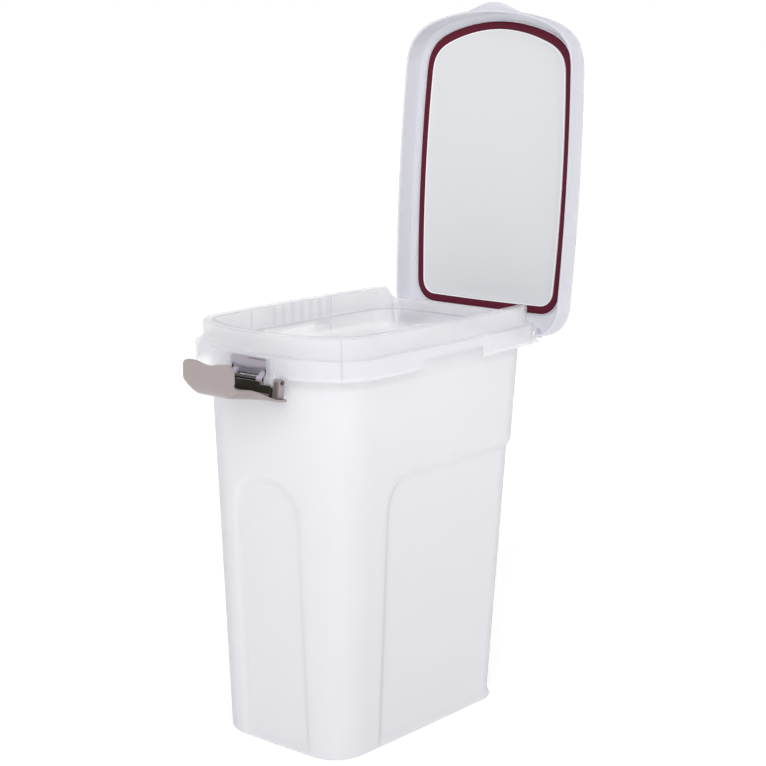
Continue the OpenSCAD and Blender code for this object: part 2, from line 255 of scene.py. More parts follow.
def ring(shape, z):
    """One closed outline: a Bezier circle pulled into shape, then turned into a loop of edges."""
    w, front, rear, sb, fb, rb, rf, rr = shape
    span = w - sb

    def front_y(x):
        return front + fb * (x / span) ** 2

    def rear_y(x):
        return rear - rb * (x / span) ** 2

    # where the front and rear corner rounds start: each depends on the other face, so it is found by steps
    fx, fy, rx, ry = 60.0, -100.0, 60.0, 100.0
    for _ in range(12):
        fx, fy = side_x(shape, fy) - rf, front_y(fx) + rf
        rx, ry = side_x(shape, ry) - rr, rear_y(rx) - rr
    low, high = front + fb, rear - rb
    ys = [lerp(fy, ry, k / 4) for k in range(5)]
    points = [((0.0, front), (1.0, 0.0)),
              ((fx, front_y(fx)), (1.0, 2 * fb * fx / span ** 2))]
    for y in ys:
        slope = -2 * sb * (y - (low + high) / 2) / ((high - low) / 2) ** 2
        points.append(((side_x(shape, y), y), (slope, 1.0)))
    points += [((rx, rear_y(rx)), (-1.0, 2 * rb * rx / span ** 2)), ((0.0, rear), (-1.0, 0.0))]
    points += [((-p[0], p[1]), (d[0], -d[1])) for p, d in points[-2:0:-1]]
    # handle lengths: a third of a nearly straight span, and 0.62 or 0.56 of the radius round a corner
    reach = [fx / 3, rf * 0.62] + [(ry - fy) / 12] * 4 + [rr * 0.56, rx / 3]
    reach += reach[::-1]
    deselect()
    bpy.ops.curve.primitive_bezier_circle_add(radius=0.1)
    loop = bpy.context.object
    bpy.ops.object.mode_set(mode='EDIT')
    bpy.ops.curve.select_all(action='SELECT')
    bpy.ops.curve.subdivide(number_cuts=3)
    done()
    spline = loop.data.splines[0]
    loop.data.dimensions = '3D'
    for i, (p, d) in enumerate(points):
        knot = spline.bezier_points[i]
        knot.handle_left_type = knot.handle_right_type = 'FREE'
        way = Vector((d[0], d[1], 0)).normalized()
        here = Vector((p[0], p[1], z))
        knot.co = here * MM
        knot.handle_right = (here + way * reach[i]) * MM
        knot.handle_left = (here - way * reach[i - 1]) * MM
    loop.data.resolution_u = spline.resolution_u = STEPS
    take(loop)
    bpy.ops.object.convert(target='MESH')
    return bpy.context.object


LIFT = 3.0     # an outline is lifted by this much while it is bridged, in millimetres


def loft(profile, lower_rear=False):
    """Bridge a stack of outlines, (shape, z, rows), each to the next; both ends are capped."""
    body = None
    last, last_z = 0, 0.0
    for shape, z, rows in profile:
        loop = ring(shape, z)
        # an outline level with the last one is lifted while it is bridged, so the two can't cross
        lift = LIFT if rows == 0 and abs(z - last_z) < LIFT / 2 else 0.0
        last_z = z
        if lower_rear and z > REAR_KEPT:
            gap = RIM[2] - shape[2]
            for v in loop.data.vertices:
                v.co.z -= REAR_DROP * ease((v.co.y / MM + gap - REAR_LINE) / REAR_RAMP) * MM
        if body is None:
            body = loop
            continue
        for v in loop.data.vertices:
            v.co.z += lift * MM
        first = len(body.data.vertices)
        join(body, loop)
        edit(body)
        bpy.ops.mesh.select_mode(type='EDGE')
        bpy.ops.mesh.select_all(action='DESELECT')
        bm = bmesh.from_edit_mesh(body.data)
        bm.verts.ensure_lookup_table()
        for start in (last, first):
            for i in range(start, start + RING):
                for e in bm.verts[i].link_edges:
                    if start <= e.other_vert(bm.verts[i]).index < start + RING:
                        e.select_set(True)
        bmesh.update_edit_mesh(body.data)
        bpy.ops.mesh.bridge_edge_loops(number_cuts=rows, interpolation='LINEAR', smoothness=0)
        done()
        for i in range(first, first + RING):
            body.data.vertices[i].co.z -= lift * MM
        last = first
    for start in (0, last):
        edit(body)
        bpy.ops.mesh.select_mode(type='VERT')
        bpy.ops.mesh.select_all(action='DESELECT')
        bm = bmesh.from_edit_mesh(body.data)
        bm.verts.ensure_lookup_table()
        for i in range(start, start + RING):
            bm.verts[i].select_set(True)
        bm.select_flush_mode()
        bmesh.update_edit_mesh(body.data)
        bpy.ops.mesh.edge_face_add()
        done()
    return body


# ---------------------------------------------------------------- tub
PANEL_DEPTH = 3.8
PANEL_START = -74.0    # front edge of the side panels, along y
PANEL_TOP = 284.0
PANEL_R = 35.0
PANEL_ZONE = (3.0, 300.0)   # heights between which points may be drawn in
ARCH_HALF = 45.0
ARCH_SPRING = 240.0    # height at which the arch starts to round
FRONT_FACE = -90.0     # the arch is only in front of this y
SOFT = 7.0             # width of the slope round a panel


def panel_weight(p):
    """How far a point of the wall is drawn in: 1 inside a moulded panel, 0 outside it."""
    a, b = p.y - PANEL_START, PANEL_TOP - p.z
    side = min(a, b)
    if a < PANEL_R and b < PANEL_R:
        side = PANEL_R - math.hypot(PANEL_R - a, PANEL_R - b)
    arch = -1.0
    if p.y < FRONT_FACE:
        arch = ARCH_HALF - (abs(p.x) if p.z < ARCH_SPRING else math.hypot(p.x, p.z - ARCH_SPRING))
    return max(ease(side / SOFT), ease(arch / SOFT))


def wall_shape(z):
    return between(BASE, WALL_TOP, z / LEDGE)


def build_tub():
    # one outline of the wall or of the collar: its height, how far in it lies, and the rows up to it
    def w(z, d, rows=0):
        return inset(wall_shape(z), d), z, rows

    def c(z, d, rows=0):
        return inset(RIM, d), z, rows

    outer = [w(0.8, 9), w(0.3, 7.5), w(0.05, 6.8), w(0, 3.4), w(0.7, 1.6), w(2.2, 0.4), w(4.5, 0),
             w(292, 0, 58), w(402, 0, 12)]
    collar = [c(405.5, 6.1), c(408, 7), c(425.6, 7, 1), c(426.2, 6.4), c(426.2, 2.8), c(425.6, 2.2),
              c(406.4, 2.2, 1), c(405.6, 1.4), c(405.6, -3.4), c(404.6, -4.4), c(SKIRT_LOW + 0.5, -4.4, 1),
              c(SKIRT_LOW, -4.9), c(SKIRT_LOW, -6.1), c(SKIRT_LOW + 0.5, -SKIRT_OUT),
              c(406.2, -SKIRT_OUT, 1), c(407.3, -6.2), c(LEDGE, -5.2), c(LEDGE, -0.9), c(408.1, -0.3),
              c(408.8, 0), c(425.6, 0, 1), c(427.2, 0.5), c(428.1, 1.3), c(RIM_TOP, 2.4), c(RIM_TOP, 8.2),
              c(428.1, 9.1), c(427.3, RIM_W), c(403, RIM_W, 2), c(401, 9.2)]
    inner = [w(397, WALL), w(292, WALL, 10), w(8.4, WALL, 58), w(FLOOR + 2.0, WALL + 1.2),
             w(FLOOR + 0.5, WALL + 3.2), w(FLOOR, WALL + 6)]
    tub = loft(outer + collar + inner, lower_rear=True)
    outward(tub)
    # the moulded panels are pressed into both skins of the wall
    for name, push in (("outer", -1), ("inner", 1)):
        weights = tub.vertex_groups.new(name=name)
        for v in tub.data.vertices:
            p = v.co / MM
            if PANEL_ZONE[0] < p.z < PANEL_ZONE[1]:
                # a normal that points away from the middle belongs to the outer skin
                faces_out = p.x / 100 * v.normal.x + p.y / 150 * v.normal.y > 0
                weight = panel_weight(p) * ease((p.z - 1) / 6)
                if weight > 0 and faces_out == (name == "outer"):
                    weights.add([v.index], weight, 'REPLACE')
        apply(tub, 'DISPLACE', strength=push * PANEL_DEPTH * MM, mid_level=0, direction='NORMAL',
              vertex_group=name)
    return tub


def build_additions():
    """Moulded onto the tub: rim ribs, corner webs, hinge cheeks and latch lugs; then the hinge shelf."""
    parts = []
    for y in RIBS:
        x = side_x(RIM, y)
        parts.append(block((x - 8.6, y - 0.8, 407), (x - 0.9, y + 0.8, 427.0)))
    for x, y, turn in WEBS:
        web = block((-7.6, -0.8, 389.3), (5.2, 0.8, 406.3))
        web.rotation_euler = (0, 0, math.radians(turn))
        web.location = (x * MM, y * MM, 0)
        parts.append(settle(web))
    cheek = [(154.5, 382.5), (HINGE[0] + 3.4, 382.5)] + arc(HINGE, 7, -60, 61, 15)
    cheek += [(160, 405.8), (154.5, 405.8)]
    for x in (ARM_IN - ARM_GAP - CHEEK, ARM_OUT + ARM_GAP):
        parts.append(plate(cheek, x, x + CHEEK, 0.4))
    lug = [(-154.8, LATCH[1] - 5.5)] + arc(LATCH, 5.5, 265, 160, -15) + [(-164, 406.6), (-154.8, 406.6)]
    parts.append(plate(lug, LUG_IN, LUG_OUT, 0.5))
    shelf = block((ARM_IN - 4.6, 154.6, 382.6), (ARM_OUT + 4.6, 178, 385.8), 0.4)
    return [parts, [shelf]]


def build_cuts():
    """Finger notches, rooms for the arms and ears, a channel in each lug; then turning room and pin holes."""
    room = ARM_IN - ARM_GAP, ARM_OUT + ARM_GAP
    first = [block((102.8, -44, 380), (128, 53, 397.9), 2.0, 3),
             block((room[0], 162.0, 385.9), (room[1], 190, 412)),
             rod(38, 49, *LATCH, 6.4),
             block((30.2, -180, 386.5), (34.6, -174.2, 401), 0.4)]
    second = [rod(*room, *HINGE, KNUCKLE_R + 0.6), rod(LUG_IN - 1, LUG_OUT + 1, *LATCH, LATCH_BORE, 32)]
    return [first, second, [rod(ARM_IN - 6, ARM_OUT + 6, *HINGE, HINGE_BORE)]]


def both_sides(parts):
    return join(*(parts + [mirrored(o) for o in parts]))


def finish_tub(tub):
    for parts in build_additions():
        cut(tub, both_sides(parts), 'UNION')
    for parts in build_cuts():
        cut(tub, both_sides(parts))
    window = block((-24, -180, 380), (24, -166.4, 405.4), 1.2, 3)
    cut(tub, window)
    return smooth(tub, 34)


# ---------------------------------------------------------------- lid, modelled shut, then swung open
LIP_HALF = 40.0        # half width of the lifting lip
LIP_OUT = 8.7          # how far it stands out


def swing(piece):
    """Turn a lid piece from shut to open about the hinge."""
    piece.matrix_world = (Matrix.Translation((0, HINGE[0] * MM, HINGE[1] * MM))
                          @ Matrix.Rotation(math.radians(-LID_OPEN), 4, 'X')
                          @ Matrix.Translation((0, -HINGE[0] * MM, -HINGE[1] * MM)))
    return settle(piece)


def build_lid():
    # one outline of the lid: its height, how far in it lies, and the rows up to it
    def r(z, d, rows=0):
        return inset(LID, d), z, rows

    top, low, t = LID_TOP, LID_LOW, LID_WALL
    profile = [r(top - t - 0.35, 12), r(top - t - 0.15, 9), r(top - t, 7)]
    profile += [r(top - 4 + 1.8 * math.sin(a), 4 - 1.8 * math.cos(a))
                for a in (1.2, 0.8, 0.4, 0.0)]
    profile += [r(low + 0.5, t, 3), r(low, t - 0.5), r(low, 0.5), r(low + 0.5, 0)]
    profile += [r(top - 4 + 4 * math.sin(a), 4 - 4 * math.cos(a), 2 if a == 0 else 0)
                for a in (0.0, 0.32, 0.64, 0.96, 1.28, 1.57)]
    profile += [r(top - 0.1, 9), r(top - 0.2, 14), r(top - 0.7, 16.5), r(top - 0.6, 30)]
    lid = outward(loft(profile))
    # low wall round the seal
    s, z1 = SEAL, top - t - 3.2
    groove = ring_tube([(-0.2, z1 + 0.4), (-0.5, z1), (-1.3, z1), (-1.7, z1 + 0.4), (-1.9, top - t + 0.4),
                        (-0.2, top - t + 0.4)], s)
    cut(lid, groove, 'UNION')
    # arms that reach down to the hinge pins
    y, z = HINGE
    arm = arc(HINGE, KNUCKLE_R, -170, 1, 17)
    arm += [(y + KNUCKLE_R, low + 9), (y - 3.6, low + 3), (y - 5.6, z + 3.2)]
    arm = plate(arm, ARM_IN, ARM_OUT, 0.5)
    for side_arm in (arm, mirrored(arm)):
        cut(lid, side_arm, 'UNION')
    # lifting lip at the front
    deselect()
    bpy.ops.mesh.primitive_grid_add(x_subdivisions=28, y_subdivisions=5, size=1)
    lip = bpy.context.object
    for v in lip.data.vertices:
        x, t = v.co.x * 2 * LIP_HALF, 0.5 - v.co.y
        rise = 0.5 + 0.5 * math.cos(math.pi * min(1, abs(x) / LIP_HALF))
        line = LID[1] + front_bow(x)
        v.co = Vector((x, lerp(line + 1.6, line - 0.3 - LIP_OUT * rise ** 0.8, t), low + 7.7)) * MM
    settle(lip)
    apply(lip, 'SOLIDIFY', thickness=2.6 * MM, offset=0)
    apply(lip, 'SUBSURF', levels=1, render_levels=1)
    outward(lip)
    cut(lid, lip, 'UNION')
    bore = rod(ARM_IN - 1, ARM_OUT + 1, *HINGE, HINGE_BORE)
    other_bore = mirrored(bore)
    cut(lid, bore)
    cut(lid, other_bore)
    return swing(smooth(lid, 34))


def front_bow(x):
    """How far the lid's front edge lies back at x."""
    return LID[4] * (x / (LID[0] - LID[3])) ** 2


def ring_tube(section, shape):
    """A closed ring with the given section: (inset, height) corners, joined back to the first."""
    tube = loft([(inset(shape, d), z, 0) for d, z in section])
    edit(tube)
    # the end caps of the loft give way to one more band between last and first
    bpy.ops.mesh.select_mode(type='FACE')
    bpy.ops.mesh.select_all(action='DESELECT')
    bm = bmesh.from_edit_mesh(tube.data)
    for f in bm.faces:
        f.select_set(len(f.verts) > 4)
    bmesh.update_edit_mesh(tube.data)
    bpy.ops.mesh.delete(type='ONLY_FACE')
    bpy.ops.mesh.select_mode(type='EDGE')
    bpy.ops.mesh.select_all(action='DESELECT')
    bpy.ops.mesh.select_non_manifold()
    bpy.ops.mesh.bridge_edge_loops()
    done()
    return outward(tube)


def build_panel():
    """The panel, with a raised edge that the seal sits against."""
    shape = inset(SEAL, SEAL_W + 0.15)
    top = UNDERSIDE
    profile = [(inset(shape, d), top - h, 0) for d, h in
               ((0.4, 0.0), (0, 0.3), (0, 1.2), (0.3, 1.8), (0.9, 2.2), (1.8, 2.4), (3.2, 2.3), (5.0, 1.9),
                (8.0, 1.6), (14.0, 1.5), (30.0, 1.5))]
    return swing(smooth(outward(loft(profile)), 40))


def build_seal():
    face = UNDERSIDE - SEAL_T
    w = SEAL_W
    section = [(0.2, UNDERSIDE), (0.0, face + 2.2), (0.0, face + 1.1), (0.5, face + 0.5),
               (1.5, face + 0.15), (2.4, face), (w / 2, face), (w - 2.4, face), (w - 1.5, face + 0.15),
               (w - 0.5, face + 0.5), (w, face + 1.1), (w, face + 2.2), (w - 0.2, UNDERSIDE)]
    return swing(smooth(ring_tube(section, SEAL), 40))


def build_beads():
    """Two fine beads that hold the seal, one along each of its edges."""
    crest = UNDERSIDE - SEAL_T - 0.3
    rings = []
    for d in (-0.75, SEAL_W + 0.75):
        section = [(d - 0.7, UNDERSIDE), (d - 0.65, crest + 0.6), (d - 0.35, crest), (d + 0.35, crest),
                   (d + 0.65, crest + 0.6), (d + 0.7, UNDERSIDE)]
        rings.append(smooth(ring_tube(section, SEAL), 50))
    return swing(join(*rings))


# ---------------------------------------------------------------- latch, open and level in front of the tub
LATCH_T = 2.4
LATCH_HALF = 51.0      # half width at the pin end
SHOULDER = (-6.0, -16.0)   # y between which it narrows to the shoulder
SHOULDER_HALF = 48.0
NECK_RUN = 16.0        # the neck lies this far short of the tip
NECK_HALF = 37.5
LIP_END_HALF = 33.2    # half width of the lip, reached this much further on:
LIP_END_RUN = 12.0
REACH = LID_TOP + 0.4 - LATCH[1]   # from the pin to the inside of the lip, so that it passes over the lid
TIP = -REACH - LATCH_T
WEB_LOW = 17.6         # the web hangs this far below the pin
TIP_RISE = 5.0         # and rises this much towards the lip
BEND_R = 12.0
BEND_TURN = math.radians(84)
LIP_TOP = 22.0
LIP_CORNER = 8.0
LIP_DIP = 3.2          # depth of the finger dip in the lip's edge
DIP_HALF = 21.0
DIP_REACH = 14.0       # how far down the lip the dip is felt
SIDE_CURL = 9.0        # how far the side edges curl up near the lip
CURL_START, CURL_RUN = -9.0, 27.0   # y where the curl starts, and the length over which it grows


def latch_half_width(y):
    """Half width of the latch along its side view, with y towards the tub from the pin."""
    start, stop, neck = *SHOULDER, TIP + NECK_RUN
    if y > start:
        return LATCH_HALF
    if y > stop:
        return lerp(LATCH_HALF, SHOULDER_HALF, (start - y) / (start - stop))
    if y > neck:
        t = (stop - y) / (stop - neck)
        return lerp(SHOULDER_HALF, NECK_HALF, (ease(t) + t) / 2)
    return lerp(NECK_HALF, LIP_END_HALF, min(1.0, (neck - y) / LIP_END_RUN))


def latch_shape(p):
    """Where a point of the flat-drawn latch goes: narrowed, side edges curled up, lip rounded and dipped."""
    half = latch_half_width(p.y)
    share = abs(p.x) / LATCH_HALF
    corner = max(0.0, p.z - LIP_TOP + LIP_CORNER)
    half -= LIP_CORNER - math.sqrt(max(0.0, LIP_CORNER ** 2 - corner ** 2))
    x = math.copysign(share * half, p.x)
    # the side edges curl up between the pin and the lip, and fade out up the lip
    low = -WEB_LOW + TIP_RISE
    up = 1 - min(1.0, max(0.0, (p.z - low) / (LIP_TOP - low)))
    side = max(0.0, (share - 0.5) / 0.5)
    curl = SIDE_CURL * ease((CURL_START - p.y) / CURL_RUN) * side ** 2 * up
    reach = max(0.0, (p.z - LIP_TOP + DIP_REACH) / DIP_REACH)
    dip = LIP_DIP * (1 + math.cos(math.pi * min(1, abs(x) / DIP_HALF))) / 2 * reach ** 2
    return Vector((x, p.y, p.z + curl - dip))


def build_latch():
    """The outer skin: a cross line drawn along the web, turned up round the bend and up the lip."""
    deselect()
    bpy.ops.mesh.primitive_plane_add(size=1)
    latch = bpy.context.object
    bpy.ops.object.mode_set(mode='EDIT')
    pick(latch, lambda p: p.y < 0)
    bpy.ops.mesh.delete(type='VERT')
    bpy.ops.mesh.select_all(action='SELECT')
    bpy.ops.transform.resize(value=(2 * LATCH_HALF * MM, 1, 1), center_override=(0, 0, 0))
    bpy.ops.transform.translate(value=(0, -0.5 + 1 * MM, -WEB_LOW * MM))
    bpy.ops.mesh.subdivide(number_cuts=47)
    web_rows, lip_rows = 16, 14
    run = TIP + BEND_R - 1
    for _ in range(web_rows):
        bpy.ops.mesh.extrude_edges_move(
            TRANSFORM_OT_translate={"value": (0, run / web_rows * MM, TIP_RISE / web_rows * MM)})
    bpy.ops.mesh.spin(steps=10, angle=BEND_TURN, axis=(1, 0, 0),
                      center=(0, (TIP + BEND_R) * MM, (-WEB_LOW + TIP_RISE + BEND_R) * MM))
    done()
    low = max(v.co.z for v in latch.data.vertices) / MM
    edit(latch)
    pick(latch, lambda p: p.z > low - 0.01)
    # rows crowd towards the top of the lip, where its corners are rounded
    heights = [lerp(low, LIP_TOP, math.sin(math.pi / 2 * k / lip_rows)) for k in range(lip_rows + 1)]
    for h0, h1 in zip(heights, heights[1:]):
        bpy.ops.mesh.extrude_edges_move(TRANSFORM_OT_translate={"value": (0, 0, (h1 - h0) * MM)})
    done()
    for v in latch.data.vertices:
        v.co = latch_shape(v.co / MM) * MM
    return latch


def finish_latch(latch):
    edit(latch)
    bpy.ops.mesh.select_all(action='SELECT')
    bpy.ops.mesh.normals_make_consistent(inside=False)
    done()
    # outer skin faces down and forward
    lowest = min(latch.data.polygons, key=lambda f: f.center.z)
    if lowest.normal.z > 0:
        edit(latch)
        bpy.ops.mesh.select_all(action='SELECT')
        bpy.ops.mesh.flip_normals()
        done()
    # the inner skin takes the second finish, a dark one that paints the shade inside the latch
    latch.data.materials.append(latch_pearl)
    latch.data.materials.append(latch_painted_shade)
    apply(latch, 'SOLIDIFY', thickness=LATCH_T * MM, offset=-1, material_offset=1)
    apply(latch, 'BEVEL', width=0.7 * MM, segments=3, angle_limit=math.radians(50))
    # from here on the origin is the pin: ears, cross bar and heel, then the dark end walls and blocks,
    # painted shade inside the latch
    web = -WEB_LOW
    ear = plate(arc((0, 0), 3.7, 0, 171, 17) + [(-6.5, web + 2), (2, web + 0.5)], 38.3, 46.3, 0.4)
    cut(ear, block((41, -30, web + 4.2), (43.2, -2.6, 1.5), 0.2))
    cut(ear, rod(37, 48, 0, 0, LATCH_BORE, 32))
    bar = block((-38.5, -11, -12), (38.5, -9.6, -9.8), 0.5)
    heel = block((-18, -0.5, web), (18, 13.6, web + LATCH_T), 0.6)
    parts = [mirrored(ear), ear, bar, heel]
    dark = [block((-38.5, -7.8, web + 1.2), (38.5, -6.2, -2.8), 0.5),
            block((-23.5, -7.7, -5), (23.5, -6.3, -0.4), 0.4),
            block((-39.5, -1, web + 0.2), (39.5, 1, -6.2), 0.5)]
    for part in parts:
        part.data.materials.append(latch_pearl)
    for part in dark:
        part.data.materials.append(latch_painted_shade)
    for part in parts + dark + [latch]:
        smooth(part, 40)
    join(latch, *parts, *dark)
    latch.location = (0, LATCH[0] * MM, LATCH[1] * MM)
    return settle(latch)


BRACKET_HALF = 22.0
KNUCKLE_W = 7.0
COVE = 4.6             # depth of the cove
COVE_EDGE = 11.5       # height of its edge above the pin at either end
COVE_BOW = 2.2         # and how much lower the edge is in the middle


def build_bracket():
    """A block with a shallow cove along its lower front edge, and two knuckles that carry the pin."""
    y, z = LATCH
    body = block((-BRACKET_HALF, y + 1.6, z + 3), (BRACKET_HALF, y + 8.6, z + 20))
    edit(body)
    bpy.ops.mesh.select_all(action='SELECT')
    bpy.ops.mesh.subdivide(number_cuts=15)
    done()
    for v in body.data.vertices:
        p = v.co / MM
        if p.y < y + 1.9:
            # the cove starts along a bowed edge, lowest in the middle
            edge = z + COVE_EDGE - COVE_BOW * (1 - (p.x / BRACKET_HALF) ** 2)
            if p.z < edge:
                v.co.y += min(COVE, 0.55 * (edge - p.z) + 0.6) * MM
            else:
                v.co.y -= 0.4 * ease((p.z - edge) / 3) * MM
        if p.z > z + 19.9:
            v.co.z -= (1.6 if p.x > 2 else 0.0) * MM
    apply(body, 'BEVEL', width=0.5 * MM, segments=2, angle_limit=math.radians(45))
    parts = []
    for x in (-BRACKET_HALF, BRACKET_HALF - KNUCKLE_W):
        nose = arc(LATCH, 3.6, 330, 104, -15)[::-1]
        knuckle = [(y + 8.5, z + 3.2), (y + 8.5, z + 9), (y + 6, z + 9)] + nose
        knuckle = plate(knuckle, x, x + KNUCKLE_W, 0.3)
        cut(knuckle, rod(x - 1, x + KNUCKLE_W + 1, y, z, LATCH_BORE, 32))
        parts.append(knuckle)
    for part in parts + [body]:
        smooth(part, 40)
    join(body, *parts)
    return body


# ---------------------------------------------------------------- finishes
def group(name, inputs, outputs):
    tree = bpy.data.node_groups.new(name, 'ShaderNodeTree')
    for label, kind, value in inputs:
        socket = tree.interface.new_socket(label, in_out='INPUT', socket_type=kind)
        if value is not None:
            socket.default_value = value
    for label, kind in outputs:
        tree.interface.new_socket(label, in_out='OUTPUT', socket_type=kind)
    return tree


def add(tree, kind, **settings):
    node = tree.nodes.new(kind)
    for key, value in settings.items():
        setattr(node, key, value)
    return node


def maths(tree, operation, value, other):
    """One math node on a value and a number."""
    node = add(tree, 'ShaderNodeMath', operation=operation)
    tree.links.new(value, node.inputs[0])
    node.inputs[1].default_value = other
    return node.outputs[0]


def noise(tree, vector, scale, detail=2.0, rough=0.5):
    node = add(tree, 'ShaderNodeTexNoise')
    tree.links.new(vector, node.inputs['Vector'])
    node.inputs['Scale'].default_value = scale
    node.inputs['Detail'].default_value = detail
    node.inputs['Roughness'].default_value = rough
    return node.outputs['Fac']


def ramp(tree, value, low, high, out_low, out_high):
    node = add(tree, 'ShaderNodeMapRange')
    tree.links.new(value, node.inputs['Value'])
    for key, number in (('From Min', low), ('From Max', high), ('To Min', out_low), ('To Max', out_high)):
        node.inputs[key].default_value = number
    return node.outputs['Result']


def moulded_group():
    """Moulded plastic: soft shade changes, fine texture of the mould and light scuffs."""
    tree = group('moulded_plastic',
                 [('Vector', 'NodeSocketVector', None), ('Colour', 'NodeSocketColor', (1, 1, 1, 1)),
                  ('Shade', 'NodeSocketFloat', 0.03), ('Gloss low', 'NodeSocketFloat', 0.3),
                  ('Gloss high', 'NodeSocketFloat', 0.4)],
                 [('Colour', 'NodeSocketColor'), ('Roughness', 'NodeSocketFloat'),
                  ('Height', 'NodeSocketFloat')])
    start, end = add(tree, 'NodeGroupInput'), add(tree, 'NodeGroupOutput')
    where = start.outputs['Vector']
    cloud = noise(tree, where, 7.0, 3.0)
    scuff = noise(tree, where, 60.0, 6.0, 0.65)
    peel = noise(tree, where, 900.0, 2.0)
    # shade: 1 plus or minus the given share
    scale = add(tree, 'ShaderNodeMath', operation='MULTIPLY_ADD')
    tree.links.new(maths(tree, 'SUBTRACT', cloud, 0.5), scale.inputs[0])
    tree.links.new(start.outputs['Shade'], scale.inputs[1])
    scale.inputs[2].default_value = 1.0
    tint = add(tree, 'ShaderNodeVectorMath', operation='SCALE')
    tree.links.new(start.outputs['Colour'], tint.inputs[0])
    tree.links.new(scale.outputs[0], tint.inputs['Scale'])
    tree.links.new(tint.outputs[0], end.inputs['Colour'])
    mix = add(tree, 'ShaderNodeMapRange')
    tree.links.new(scuff, mix.inputs['Value'])
    mix.inputs['From Min'].default_value = 0.3
    mix.inputs['From Max'].default_value = 0.7
    tree.links.new(start.outputs['Gloss low'], mix.inputs['To Min'])
    tree.links.new(start.outputs['Gloss high'], mix.inputs['To Max'])
    tree.links.new(mix.outputs['Result'], end.inputs['Roughness'])
    total = add(tree, 'ShaderNodeMath', operation='MULTIPLY_ADD')
    tree.links.new(scuff, total.inputs[0])
    total.inputs[1].default_value = 0.35
    tree.links.new(peel, total.inputs[2])
    tree.links.new(total.outputs[0], end.inputs['Height'])
    return tree


MOULDED = moulded_group()


def finish_material(name, colour, shade=0.03, gloss=(0.3, 0.4), bump=0.08, **sockets):
    """One plastic, rubber or metal finish on the shared moulded texture."""
    mat = bpy.data.materials.new(name)
    mat.use_nodes = True
    tree = mat.node_tree
    shader = tree.nodes['Principled BSDF']
    where = add(tree, 'ShaderNodeTexCoord')
    skin = add(tree, 'ShaderNodeGroup', node_tree=MOULDED)
    tree.links.new(where.outputs['Object'], skin.inputs['Vector'])
    skin.inputs['Colour'].default_value = (*colour, 1)
    skin.inputs['Shade'].default_value = shade
    skin.inputs['Gloss low'].default_value, skin.inputs['Gloss high'].default_value = gloss
    tree.links.new(skin.outputs['Colour'], shader.inputs['Base Color'])
    tree.links.new(skin.outputs['Roughness'], shader.inputs['Roughness'])
    raised = add(tree, 'ShaderNodeBump')
    raised.inputs['Strength'].default_value = bump
    raised.inputs['Distance'].default_value = 0.0002
    tree.links.new(skin.outputs['Height'], raised.inputs['Height'])
    tree.links.new(raised.outputs['Normal'], shader.inputs['Normal'])
    for key, value in sockets.items():
        shader.inputs[key.replace('_', ' ')].default_value = value
    return mat, shader, where


def band(tree, value, middle, half, soft=0.0007):
    """1 within half of the middle, falling to 0 over the soft edge."""
    size = maths(tree, 'ABSOLUTE', maths(tree, 'SUBTRACT', value, middle), 0)
    return ramp(tree, size, half, half + soft, 1.0, 0.0)


def combine(tree, operation, *values):
    """Several values put together, one after another."""
    total = values[0]
    for value in values[1:]:
        node = add(tree, 'ShaderNodeMath', operation=operation)
        tree.links.new(total, node.inputs[0])
        tree.links.new(value, node.inputs[1])
        total = node.outputs[0]
    return total


def stroke_and_shade_group():
    """Mouldings behind the rim, which show through the clear collar as slightly darker strokes, with painted
    shade among them: a painted shadow band under the ribs and a painted shade line along the rim's outer top
    edge.
    """
    tree = group('strokes_and_painted_shade', [('Vector', 'NodeSocketVector', None)], [('Mask', 'NodeSocketFloat')])
    start, end = add(tree, 'NodeGroupInput'), add(tree, 'NodeGroupOutput')
    split = add(tree, 'ShaderNodeSeparateXYZ')
    tree.links.new(start.outputs['Vector'], split.inputs[0])
    y, z = split.outputs['Y'], split.outputs['Z']
    x = maths(tree, 'ABSOLUTE', split.outputs['X'], 0)
    inside = combine(tree, 'MULTIPLY', band(tree, x, 0, 0.0996, 0.0002),
                     band(tree, y, 0.020, 0.1345, 0.0002))
    rim = band(tree, z, 0.416, 0.0105)
    level = combine(tree, 'MULTIPLY', inside, band(tree, z, 0.4045, 0.0006, 0.0008))
    ends = combine(tree, 'ADD', band(tree, y, -0.063, 0.0007), band(tree, y, 0.060, 0.0007),
                   band(tree, y, 0.1475, 0.0005))
    ends = combine(tree, 'MULTIPLY', ends, inside, band(tree, z, 0.408, 0.019))
    # seven ribs at an even pitch, with a band of painted shadow under them
    pitch = maths(tree, 'PINGPONG', y, 0.007)
    zone = combine(tree, 'MULTIPLY', inside, band(tree, y, 0.010, 0.047, 0.001))
    ribs = combine(tree, 'MULTIPLY', zone, rim, band(tree, pitch, 0, 0.0022, 0.002))
    painted_shadow_under = combine(tree, 'MULTIPLY', zone, band(tree, z, 0.400, 0.0035, 0.0015))
    # corner webs: a stroke square across the corner
    across = add(tree, 'ShaderNodeVectorMath', operation='DOT_PRODUCT')
    along = add(tree, 'ShaderNodeVectorMath', operation='DOT_PRODUCT')
    flat = add(tree, 'ShaderNodeCombineXYZ')
    tree.links.new(x, flat.inputs[0])
    tree.links.new(y, flat.inputs[1])
    for node, way in ((across, (0.719, 0.695, 0)), (along, (0.695, -0.719, 0))):
        tree.links.new(flat.outputs[0], node.inputs[0])
        node.inputs[1].default_value = way
    web = combine(tree, 'MULTIPLY', band(tree, across.outputs['Value'], -0.0293, 0.0006),
                  band(tree, along.outputs['Value'], 0.20, 0.045), band(tree, z, 0.407, 0.0195))
    # painted shade: a dark line along the rim's outer top edge
    edge = band(tree, z, 0.4271, 0.0005, 0.0004)
    strokes = [level]
    for value, strength in ((ends, 0.8), (web, 0.45), (edge, 0.5), (ribs, 0.45), (painted_shadow_under, 0.6)):
        strokes.append(maths(tree, 'MULTIPLY', value, strength))
    tree.links.new(combine(tree, 'MAXIMUM', *strokes), end.inputs['Mask'])
    return tree


